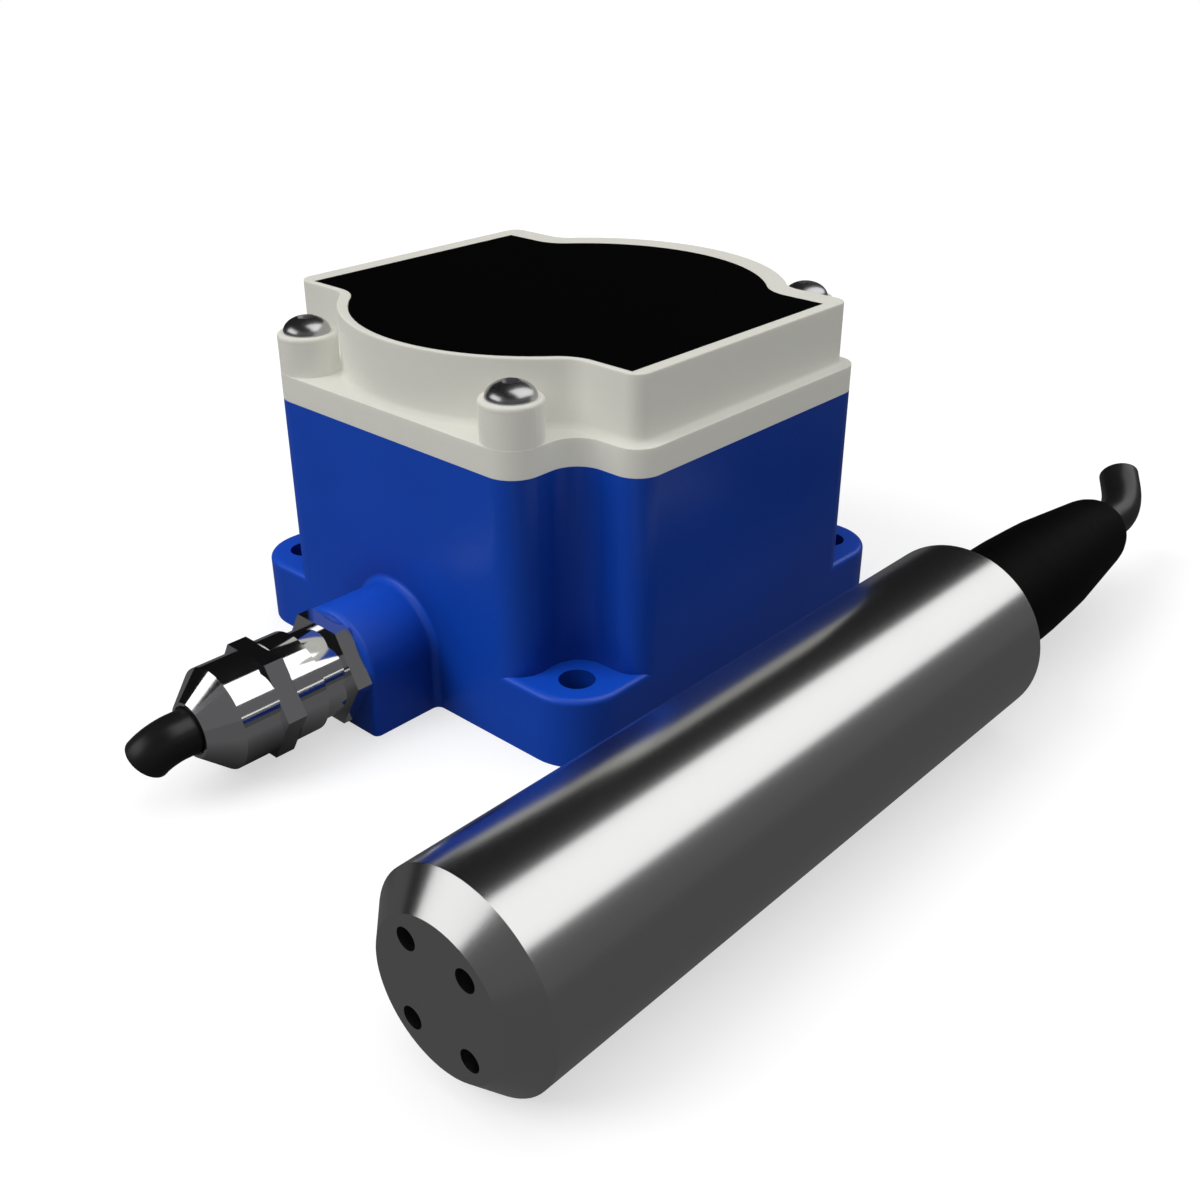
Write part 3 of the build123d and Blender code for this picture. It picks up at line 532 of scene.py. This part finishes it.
def light_path(paint):
    """1 for a ray that should see the background: from the camera, in a gloss or through glass."""
    rays = [paint.signal("ShaderNodeLightPath", name) for name in
            ("Is Camera Ray", "Is Glossy Ray", "Is Transmission Ray")]
    return rays[0].at_least(rays[1]).at_least(rays[2])


def make_world():
    """White behind the object, and a soft sky of light that is brightest overhead."""
    level_light, overhead_light, falloff = 0.05, 1.6, 2.5
    world = bpy.data.worlds.new("studio")
    world.use_nodes = True
    bpy.context.scene.world = world
    paint = Paint(world.node_tree)
    height = paint.axis(paint.signal("ShaderNodeTexCoord", "Generated"), "Z").at_least(0.0)
    light = level_light + overhead_light * height ** falloff
    sky = paint.signal("ShaderNodeCombineColor", 0, None, {0: light, 1: light, 2: light})
    colour = paint.blend(light_path(paint), sky, grey(1.0))
    paint.feed(world.node_tree.nodes["Background"].inputs["Color"], colour)


def glow(name, colour):
    """A material that shines evenly in one colour."""
    material = bpy.data.materials.new(name)
    material.use_nodes = True
    paint = Paint(material.node_tree)
    shine = paint.add("ShaderNodeEmission", None, {"Color": colour, "Strength": 1.0})
    output = paint.tree.nodes["Material Output"]
    paint.tree.links.new(shine.outputs[0], output.inputs["Surface"])
    return material


def card(name, corners, colour):
    """A card of the studio that only shows in reflections."""
    mesh = bpy.data.meshes.new(name)
    mesh.from_pydata(corners, [], [(0, 1, 2, 3)])
    obj = bpy.data.objects.new(name, mesh)
    bpy.context.collection.objects.link(obj)
    mesh.materials.append(glow(name, colour))
    obj.visible_camera = False
    obj.visible_diffuse = False
    obj.visible_transmission = False
    obj.visible_shadow = False
    return obj


def level_card(name, left, right, front, rear, height, colour):
    corners = [(left, front, height), (right, front, height), (right, rear, height), (left, rear, height)]
    return card(name, corners, colour)


def upright_card(name, start, end, lower, upper, colour):
    return card(name, [(*start, lower), (*end, lower), (*end, upper), (*start, upper)], colour)


def make_floor():
    """A white floor that keeps a pale shadow of the object and fades out into the background."""
    floor_radius, fade_start, fade_end = 3.0, 0.5, 1.2
    bpy.ops.mesh.primitive_circle_add(vertices=96, radius=floor_radius, fill_type="NGON")
    floor = bpy.context.object
    floor.name = "floor"
    material = bpy.data.materials.new("floor")
    material.use_nodes = True
    paint = Paint(material.node_tree)
    place = paint.signal("ShaderNodeTexCoord", "Object")
    seen = light_path(paint)
    shader = paint.tree.nodes["Principled BSDF"]
    paint.feed(shader.inputs["Base Color"], paint.blend(seen, grey(0.1), grey(0.45)))
    paint.feed(shader.inputs["Emission Color"], paint.blend(seen, grey(0.0), grey(0.6)))
    paint.feed(shader.inputs["Emission Strength"], 1.0)
    paint.feed(shader.inputs["Roughness"], 0.9)
    paint.feed(shader.inputs["Specular IOR Level"], 0.0)
    distance = paint.signal("ShaderNodeVectorMath", 1, {"operation": "LENGTH"}, {0: place})
    clear = paint.add("ShaderNodeBsdfTransparent")
    mix = paint.add("ShaderNodeMixShader", None, {0: distance.ramp(fade_start, fade_end)})
    paint.tree.links.new(shader.outputs[0], mix.inputs[1])
    paint.tree.links.new(clear.outputs[0], mix.inputs[2])
    paint.tree.links.new(mix.outputs[0], paint.tree.nodes["Material Output"].inputs["Surface"])
    floor.data.materials.append(material)


def shade_table(material, table, dark):
    """The table is darker under the gland, which shades it."""
    under_gland, reach = (0.0, -0.085, 0.0), 0.034
    paint = Paint(material.node_tree)
    place = paint.signal("ShaderNodeTexCoord", "Object")
    distance = paint.signal("ShaderNodeVectorMath", 1, {"operation": "DISTANCE"}, {0: place, 1: under_gland})
    colour = paint.blend(distance.ramp(0.0, reach), dark, table)
    paint.feed(material.node_tree.nodes["Emission"].inputs["Color"], colour)


def make_cards():
    """What the metal reflects: a tent that is grey on the right, a grey table and two wide lights."""
    dark = rgb(0.006, 0.006, 0.0065)
    wall = rgb(0.112, 0.112, 0.115)
    table = rgb(0.092, 0.092, 0.094)
    light = rgb(1.4, 1.4, 1.39)
    low, far = 0.00004, 5.0
    ground = level_card("table", -far, far, -far, far, low, table)
    shade_table(ground.data.materials[0], table, dark)
    for name, start, end, lower, upper, colour in (
            ("wall_left", (-far, -far), (-far, far), low, far, dark),
            ("wall_back", (-far, far), (0.0, far), low, far, dark),
            ("wall_back_right", (0.0, far), (far, far), low, far, wall),
            ("wall_right", (far, far), (far, -far), low, far, wall),
            ("wall_front_right", (far, -far), (-1.5, -far), low, far, wall),
            ("wall_front_left", (-1.5, -far), (-far, -far), low, far, dark),
            ("softbox_front", (-1.5, -1.0), (-0.06, -1.8), 0.45, 1.35, light)):
        upright_card(name, start, end, lower, upper, colour)
    level_card("roof", -far, far, -far, far, far, dark)
    level_card("softbox", left=-0.02, right=1.2, front=-0.1, rear=3.2, height=1.0, colour=light)


def make_lamps():
    """A soft key light from the front left, above the camera."""
    lamp = bpy.data.lights.new("key", "SUN")
    lamp.energy = 1.5
    lamp.angle = math.radians(35.0)
    key = bpy.data.objects.new("key", lamp)
    bpy.context.collection.objects.link(key)
    key.rotation_euler = (math.radians(48.0), 0.0, math.radians(-28.0))
    key.visible_glossy = False


def make_camera():
    """The photograph's camera."""
    data = bpy.data.cameras.new("camera")
    data.lens = 40.43
    data.sensor_width = 36.0
    data.clip_start = 0.01
    data.clip_end = 50.0
    camera = bpy.data.objects.new("camera", data)
    bpy.context.collection.objects.link(camera)
    camera.location = (0.18956, -0.19703, 0.14480)
    camera.rotation_euler = (math.radians(62.144), 0.0, math.radians(42.453))
    bpy.context.scene.camera = camera


make_screws()
make_gland()
make_boot()
make_cables()
make_world()
make_floor()
make_cards()
make_lamps()
make_camera()
bpy.context.scene.view_settings.view_transform = "Standard"
